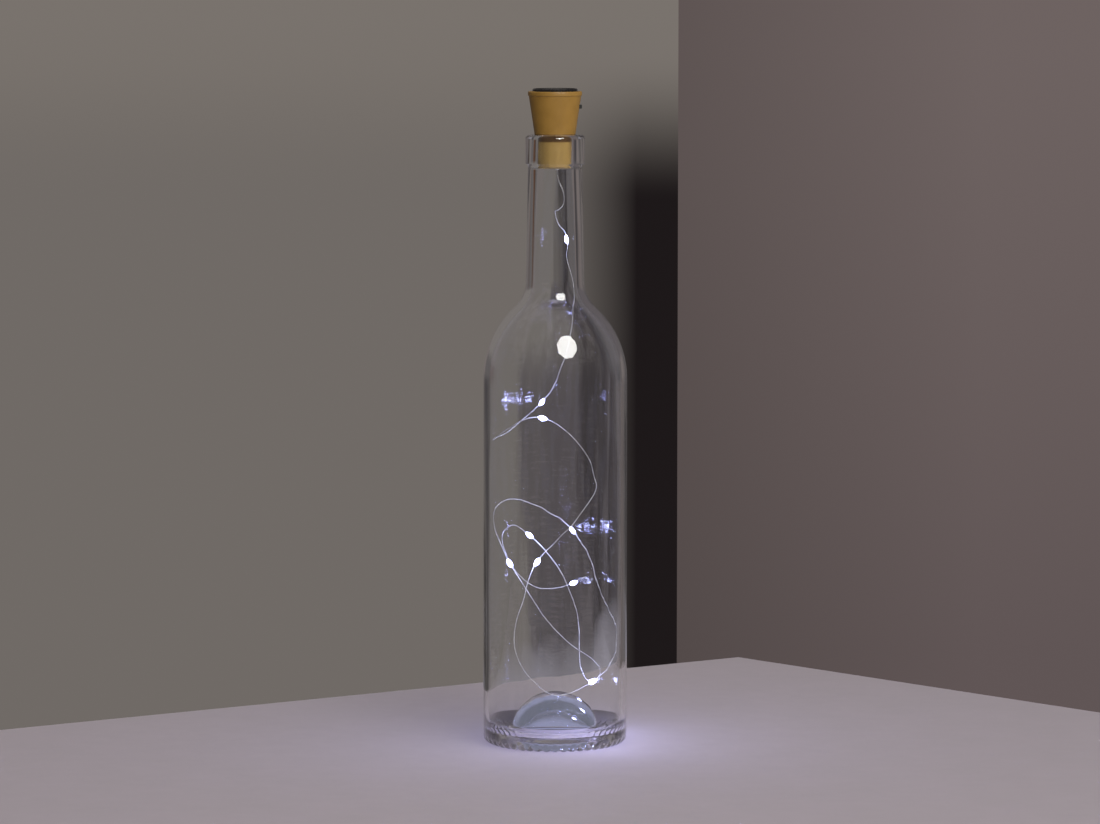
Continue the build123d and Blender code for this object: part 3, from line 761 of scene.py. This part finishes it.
def finish_stopper():
    """Materials for the pieces of the stopper and the slide switch."""
    plastic = (0.3, 0.5)
    metal = {"Metallic": 1.0}
    finishes = {
        "cork_shell": finish_material(
            "cork_plastic", (0.375, 0.205, 0.042), (0.33, 0.178, 0.034), 160.0, (0.34, 0.46), 900.0, 0.02 * mm,
            marks=shade_under_cone, Specular_IOR_Level=0.35,
        ),
        "panel_frame": finish_material(
            "black_plastic", (0.016, 0.015, 0.016), (0.009, 0.009, 0.01), 300.0, (0.18, 0.32), 1200.0, 0.01 * mm
        ),
        "panel_board": finish_material(
            "panel_laminate", (0.022, 0.022, 0.028), (0.014, 0.014, 0.02), 500.0, (0.4, 0.6), 2000.0, 0.01 * mm
        ),
        "solar_cells": finish_material(
            "solar_silicon", (0.012, 0.016, 0.05), (0.006, 0.008, 0.026), 260.0, (0.12, 0.25), 1500.0, 0.01 * mm
        ),
        "cell_busbars": finish_material(
            "silver_print", (0.75, 0.75, 0.76), (0.5, 0.5, 0.52), 900.0, (0.3, 0.5), 2500.0, 0.01 * mm,
            **metal,
        ),
        "panel_lens": finish_material(
            "clear_resin", (0.95, 0.96, 0.97), (0.9, 0.92, 0.94), 120.0, (0.02, 0.06), 180.0, 0.02 * mm,
            Transmission_Weight=1.0, IOR=1.49,
        ),
        "panel_lead_red": finish_material(
            "red_insulation", (0.5, 0.02, 0.015), (0.38, 0.012, 0.01), 500.0, plastic, 1500.0, 0.02 * mm
        ),
        "panel_lead_black": finish_material(
            "black_insulation", (0.02, 0.02, 0.02), (0.01, 0.01, 0.01), 500.0, plastic, 1500.0, 0.02 * mm
        ),
        "circuit_board": finish_material(
            "board_laminate", (0.03, 0.16, 0.05), (0.02, 0.1, 0.035), 350.0, (0.25, 0.4), 1400.0, 0.02 * mm
        ),
        "controller_chip": finish_material(
            "chip_black", (0.025, 0.025, 0.027), (0.015, 0.015, 0.016), 900.0, (0.4, 0.6), 3000.0, 0.02 * mm
        ),
        "boost_inductor": finish_material(
            "inductor_green", (0.12, 0.28, 0.16), (0.07, 0.19, 0.1), 400.0, (0.25, 0.4), 1200.0, 0.03 * mm
        ),
        "chip_resistors": finish_material(
            "resistor_black", (0.03, 0.03, 0.032), (0.016, 0.016, 0.017), 900.0, plastic, 2500.0, 0.01 * mm
        ),
        "board_capacitor": finish_material(
            "capacitor_sleeve", (0.03, 0.05, 0.16), (0.02, 0.03, 0.1), 500.0, (0.2, 0.35), 1500.0, 0.02 * mm
        ),
        "switch_body": finish_material(
            "switch_steel", (0.62, 0.61, 0.6), (0.45, 0.44, 0.43), 500.0, (0.25, 0.4), 2500.0, 0.01 * mm,
            **metal,
        ),
        "switch_slider": finish_material(
            "switch_plastic", (0.022, 0.024, 0.022), (0.012, 0.014, 0.012), 600.0, (0.3, 0.5), 2200.0, 0.02 * mm
        ),
        "switch_pins": finish_material(
            "tinned_metal", (0.7, 0.7, 0.69), (0.5, 0.5, 0.49), 900.0, (0.25, 0.45), 2500.0, 0.01 * mm,
            **metal,
        ),
        "battery_cell": finish_material(
            "battery_steel", (0.66, 0.65, 0.64), (0.5, 0.49, 0.48), 300.0, (0.2, 0.35), 1800.0, 0.01 * mm,
            **metal,
        ),
        "battery_sleeve": finish_material(
            "battery_wrap", (0.02, 0.13, 0.06), (0.015, 0.09, 0.045), 300.0, (0.2, 0.35), 1200.0, 0.02 * mm
        ),
        "battery_tab_top": finish_material(
            "nickel_strip", (0.66, 0.64, 0.6), (0.5, 0.48, 0.45), 700.0, (0.25, 0.4), 2500.0, 0.01 * mm,
            **metal,
        ),
        "string_leads": finish_material(
            "lead_wire", (0.86, 0.85, 0.84), (0.62, 0.6, 0.59), 900.0, (0.2, 0.35), 2500.0, 0.01 * mm,
            **metal,
        ),
        "exit_seal": finish_material(
            "white_glue", (0.82, 0.81, 0.78), (0.7, 0.69, 0.66), 700.0, (0.3, 0.5), 1500.0, 0.03 * mm,
            Transmission_Weight=0.3,
        ),
        "led_chips": finish_material(
            "light_chip", (0.95, 0.95, 0.9), (0.8, 0.8, 0.7), 1500.0, (0.4, 0.6), 2500.0, 0.01 * mm,
            Emission_Color=(0.75, 0.8, 1.0, 1), Emission_Strength=30.0,
        ),
    }
    finishes["battery_tab_bottom"] = finishes["battery_tab_top"]
    for name, finish in finishes.items():
        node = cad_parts[name]
        node.data.materials.clear()
        node.data.materials.append(finish)


# Stage

floor_corners = [(-0.62, -0.176), (-0.62, -0.38), (0.68, -0.38), (0.68, -0.32), (0.106, 0.29)]
key_aim = Vector((0.006, -0.033, 0.207))
key_way = Vector((0.321, -0.704, 0.633)).normalized()
key_place = key_aim + key_way * 1.6
key_size = 0.9
key_power = 9.0
softbox_strength = 20.0
softbox_share = 0.93
softbox_width = 1.14
key_colour = (1, 0.985, 0.96)
# How strongly each light's glow falls on the wire and the table. The last two need no lamp of their own.
glow_powers = [0.02, 0.042, 0.034, 0.034, 0.034, 0.034, 0.034, 0.035]
glow_colour = (0.5, 0.55, 1.0)
# Where the thick foot's shadow lies on the floor behind it
foot_shadow_start = (2.0 * mm, 8.0 * mm)
foot_shadow_end = (70.0 * mm, 78.0 * mm)
foot_shadow_side = (42.0 * mm, 56.0 * mm)
foot_shadow_tone = (0.13, 0.112, 0.118)
bounces = 24
glossy_bounces = 8


def aim(thing, place, target):
    """Puts a lamp or card at a place, turned towards a target."""
    thing.location = place
    thing.rotation_euler = (target - place).to_track_quat("-Z", "Y").to_euler()
    bpy.context.scene.collection.objects.link(thing)


def hide_lamp(lamp):
    """Keeps a lamp itself out of sight, while it lights surfaces."""
    lamp.visible_camera = False
    lamp.visible_glossy = False
    lamp.visible_transmission = False


def add_key():
    """The soft main light. Half of it throws no shadow, because glass in its way lets it through."""
    for name, shadow in (("key", True), ("key_through_glass", False)):
        data = bpy.data.lights.new(name, "AREA")
        data.shape = "DISK"
        data.size = key_size
        data.energy = key_power / 2
        data.color = key_colour
        data.use_shadow = shadow
        lamp = bpy.data.objects.new(name, data)
        aim(lamp, key_place, key_aim)
        hide_lamp(lamp)


def add_glow():
    """What the string's lights throw on the wire and the table, which glass in the way would stop."""
    for count, power in zip(light_point_counts, glow_powers):
        data = bpy.data.lights.new("glow", "POINT")
        data.shadow_soft_size = drop_length
        data.energy = power
        data.color = glow_colour
        data.use_shadow = False
        lamp = bpy.data.objects.new("glow", data)
        lamp.location = (string_route[count] + string_route[count + 1]) / 2
        bpy.context.scene.collection.objects.link(lamp)
        hide_lamp(lamp)


def add_softbox():
    """The eight-sided soft box that shows in the glass."""
    half = softbox_share * key_size / 2
    turns = [math.pi * (2 * i + 1) / 8 for i in range(8)]
    corners = [(softbox_width * half * math.cos(t), half * math.sin(t), 0) for t in turns]
    mesh = bpy.data.meshes.new("softbox")
    mesh.from_pydata(corners, [], [tuple(range(8))])
    material = bpy.data.materials.new("softbox")
    material.use_nodes = True
    nodes = Nodes(material.node_tree)
    light = nodes.add("ShaderNodeEmission", Color=(*key_colour, 1), Strength=softbox_strength)
    nodes.add("ShaderNodeOutputMaterial", Surface=light.outputs[0])
    mesh.materials.append(material)
    softbox = bpy.data.objects.new("softbox", mesh)
    aim(softbox, key_place, key_aim)
    softbox.visible_camera = False
    softbox.visible_diffuse = False
    softbox.visible_transmission = False
    softbox.visible_shadow = False


def shadow_in_glass(nodes, place, colour):
    """The floor's colour, with the shadow that the thick foot throws behind itself, as the glass shows it."""
    parts = nodes.add("ShaderNodeSeparateXYZ", Vector=place).outputs
    start = nodes.span(parts[1], 0.0, 1.0, *foot_shadow_start)
    end = nodes.span(parts[1], 1.0, 0.0, *foot_shadow_end)
    beside = nodes.span(nodes.calculate("ABSOLUTE", parts[0]), 1.0, 0.0, *foot_shadow_side)
    through = nodes.add("ShaderNodeLightPath").outputs["Is Transmission Ray"]
    share = nodes.calculate("MULTIPLY", start, nodes.calculate("MULTIPLY", end, beside))
    return nodes.blend(nodes.calculate("MULTIPLY", share, through), colour, foot_shadow_tone)


def add_floor():
    """The plain pale floor, with a far corner behind the bottle."""
    floor = add_piece(
        "floor",
        [(x, y, 0) for x, y in floor_corners],
        [tuple(range(len(floor_corners)))],
        finish_material(
            "pale_floor", (0.5, 0.435, 0.475), (0.485, 0.425, 0.46), 30.0, (0.5, 0.6), 400.0, 0.01 * mm,
            marks=shadow_in_glass,
        ),
    )


# The studio round the bottle, a few plain tones
studio_tones = {
    "wall": (0.155, 0.14, 0.13),
    "pale": (0.175, 0.15, 0.145),
    "panel": (0.135, 0.11, 0.107),
    "grey": (0.11, 0.1, 0.1),
    "shade": (0.08, 0.07, 0.075),
    "dark": (0.05, 0.045, 0.048),
    "black": (0.03, 0.026, 0.028),
    "brown": (0.09, 0.04, 0.02),
}
# What the glass shows of it level with the neck and level with the body: cards of one tone each between
# two compass angles from straight ahead, in degrees, which blend where they don't meet
neck_cards = [
    (-180, -67, "wall"),
    (-62, -61, "black"),
    (-60, -52, "brown"),
    (-49, -29, "grey"),
    (-25, -17, "pale"),
    (-12, 0, "wall"),
    (4, 5, "black"),
    (9, 24, "grey"),
    (30, 42, "pale"),
    (47, 60, "dark"),
    (66, 180, "panel"),
]
body_cards = [
    (-180, -46, "wall"),
    (-41, -30, "dark"),
    (-17, -3, "wall"),
    (-1, 2, "shade"),
    (3, 4, "black"),
    (5, 6, "shade"),
    (7, 9, "black"),
    (12, 14, "grey"),
    (18, 19, "dark"),
    (24, 30, "grey"),
    (40, 180, "panel"),
]
# Tones of the backdrop, each pair from low to high, from left to right or from lit to shaded
wall_tones = ((0.133, 0.117, 0.104), (0.191, 0.17, 0.153))
shadow_tones = ((0.162, 0.145, 0.133), (0.0125, 0.0095, 0.01))
near_panel_tones = ((0.087, 0.069, 0.067), (0.112, 0.089, 0.086))
far_panel_tones = ((0.118, 0.092, 0.092), (0.155, 0.124, 0.12))
upper_tones = ((0.185, 0.168, 0.16), (0.11, 0.097, 0.103))
# The painted glow that the thick foot shows, from low to high
foot_painted_glow_tones = ((0.27, 0.28, 0.43), (0.14, 0.148, 0.2))
table_tone = (0.24, 0.225, 0.26)
# Degrees of height and of compass angle over which they change
wall_heights = (-8.5, -0.8)
shadow_heights = (-1.2, -3.05)
shadow_angles = (-0.15, 1.0)
panel_heights = (-8.5, -1.2)
panel_angles = (1.506, 5.2)
body_heights = (-3.2, -5.6)
upper_heights = (2.5, 5.0)
upper_angles = (-8.0, 8.0)
foot_painted_glow_heights = (12.0, 20.0)
# The table's brink as glass shows it: its height straight ahead and to the right, its drop to the left,
# how soft it is, and where it ends
brink_heights = (-8.72, -8.27)
brink_right = (0.0, 6.0)
brink_drop = (-0.2, 0.0)
brink_left = (-8.0, 0.0)
brink_soft = (-0.3, 0.3)
brink_end = 22.0
brink_front = (0.86, 0.92)
front_least = 0.15
# The soft light on surfaces, which is strongest from the main light's side
soft_colour = (1.0, 0.985, 0.97)
soft_focus = 4.0
soft_strength = 1.25
soft_levels = (0.04, 0.36)
soft_sides = (-0.8, 0.7)
thick_glass_depth = 5.5


def cards_round(nodes, angle, cards):
    """The tone of the studio's cards at a compass angle."""
    ramp = nodes.add("ShaderNodeValToRGB", Fac=nodes.span(angle, 0.0, 1.0, -180.0, 180.0))
    elements = ramp.color_ramp.elements
    elements.remove(elements[1])
    edges = [(degrees, tone) for start, end, tone in cards for degrees in (start, end)]
    for number, (degrees, tone) in enumerate(edges):
        position = (degrees + 180) / 360
        element = elements[0] if number == 0 else elements.new(position)
        element.position = position
        element.color = (*studio_tones[tone], 1)
    return ramp.outputs[0]


def seen_straight(nodes, angle, height):
    """A taupe wall with a soft shadow on it, and the edge of a mauve panel."""
    wall = nodes.blend(nodes.span(height, 0.0, 1.0, *wall_heights), *wall_tones)
    top, foot = shadow_heights
    fall = nodes.add(
        "ShaderNodeMapRange", {"interpolation_type": "SMOOTHSTEP"}, i0=height, i1=top, i2=foot, i3=0.0, i4=1.0
    )
    shadow = nodes.blend(nodes.span(angle, 0.0, 1.0, *shadow_angles), *shadow_tones)
    left = nodes.blend(fall.outputs[0], wall, shadow)
    up = nodes.span(height, 0.0, 1.0, *panel_heights)
    away = nodes.span(angle, 0.0, 1.0, *panel_angles)
    panel = nodes.blend(away, nodes.blend(up, *near_panel_tones), nodes.blend(up, *far_panel_tones))
    return nodes.blend(nodes.calculate("GREATER_THAN", angle, panel_angles[0]), left, panel)


def seen_through_glass(nodes, angle, height, ahead):
    """The studio's cards, a table's edge that the glass bends up, and the room's wall higher up."""
    low = nodes.span(height, 0.0, 1.0, *body_heights)
    shown = nodes.blend(low, cards_round(nodes, angle, neck_cards), cards_round(nodes, angle, body_cards))
    right = nodes.span(angle, *brink_heights, *brink_right)
    left = nodes.span(angle, *brink_drop, *brink_left)
    over = nodes.calculate("SUBTRACT", height, nodes.calculate("ADD", right, left))
    table = nodes.calculate(
        "MULTIPLY", nodes.span(over, 1.0, 0.0, *brink_soft), nodes.calculate("LESS_THAN", angle, brink_end)
    )
    table = nodes.calculate("MULTIPLY", table, nodes.span(ahead, 0.0, 1.0, *brink_front))
    shown = nodes.blend(table, shown, table_tone)
    forward = nodes.calculate("GREATER_THAN", ahead, front_least)
    above = nodes.calculate("MULTIPLY", nodes.span(height, 0.0, 1.0, *upper_heights), forward)
    upper = nodes.blend(nodes.span(angle, 0.0, 1.0, *upper_angles), *upper_tones)
    return nodes.blend(above, shown, upper)


def light_on_surfaces(nodes, way, across):
    """Uneven soft light, strongest from the main light's side."""
    toward = nodes.add("ShaderNodeVectorMath", {"operation": "DOT_PRODUCT"}, i0=way, i1=tuple(key_way))
    facing = nodes.calculate("MAXIMUM", toward.outputs["Value"], 0.0)
    main_side = nodes.calculate("POWER", facing, soft_focus)
    side = nodes.span(across, *soft_levels, *soft_sides)
    strength = nodes.calculate("MULTIPLY_ADD", main_side, soft_strength, side)
    lit = nodes.add("ShaderNodeVectorMath", {"operation": "SCALE"}, i0=soft_colour, Scale=strength)
    return lit.outputs[0]


def add_world():
    """A plain backdrop for what is seen, and an uneven soft light for what is lit."""
    world = bpy.data.worlds.new("studio")
    bpy.context.scene.world = world
    world.use_nodes = True
    world.cycles.sampling_method = "NONE"
    nodes = Nodes(world.node_tree)
    way = nodes.add("ShaderNodeTexCoord").outputs["Generated"]
    parts = nodes.add("ShaderNodeSeparateXYZ", Vector=way).outputs
    angle = nodes.calculate("DEGREES", nodes.calculate("ARCTAN2", parts[0], parts[1]))
    height = nodes.calculate("DEGREES", nodes.calculate("ARCSINE", parts[2]))
    seen = seen_straight(nodes, angle, height)
    shown = seen_through_glass(nodes, angle, height, parts[1])
    lit = light_on_surfaces(nodes, way, parts[0])
    # Painted light: rays that have passed through more than five glass surfaces, as in the thick foot, see a
    # bluish glow tone that stands in for the lights' glow in the foot
    path = nodes.add("ShaderNodeLightPath").outputs
    thick = nodes.calculate("GREATER_THAN", path["Transmission Depth"], thick_glass_depth)
    glow = nodes.blend(nodes.span(height, 0.0, 1.0, *foot_painted_glow_heights), *foot_painted_glow_tones)
    shown = nodes.blend(thick, shown, glow)
    through = nodes.blend(path["Is Camera Ray"], shown, seen)
    scattered = nodes.calculate("GREATER_THAN", path["Diffuse Depth"], 0.5)
    background = nodes.add("ShaderNodeBackground", Color=nodes.blend(scattered, through, lit))
    nodes.add("ShaderNodeOutputWorld", Surface=background.outputs[0])


def main():
    """Builds the dressed part and its stage round the frame."""
    scene = bpy.context.scene
    scene.view_settings.view_transform = "Standard"
    scene.cycles.max_bounces = bounces
    scene.cycles.transmission_bounces = bounces
    scene.cycles.glossy_bounces = glossy_bounces
    add_camera()
    drops = add_drops()
    add_string()
    add_bottle()
    finish_stopper()
    add_floor()
    add_world()
    add_softbox()
    add_key()
    add_glow()


main()
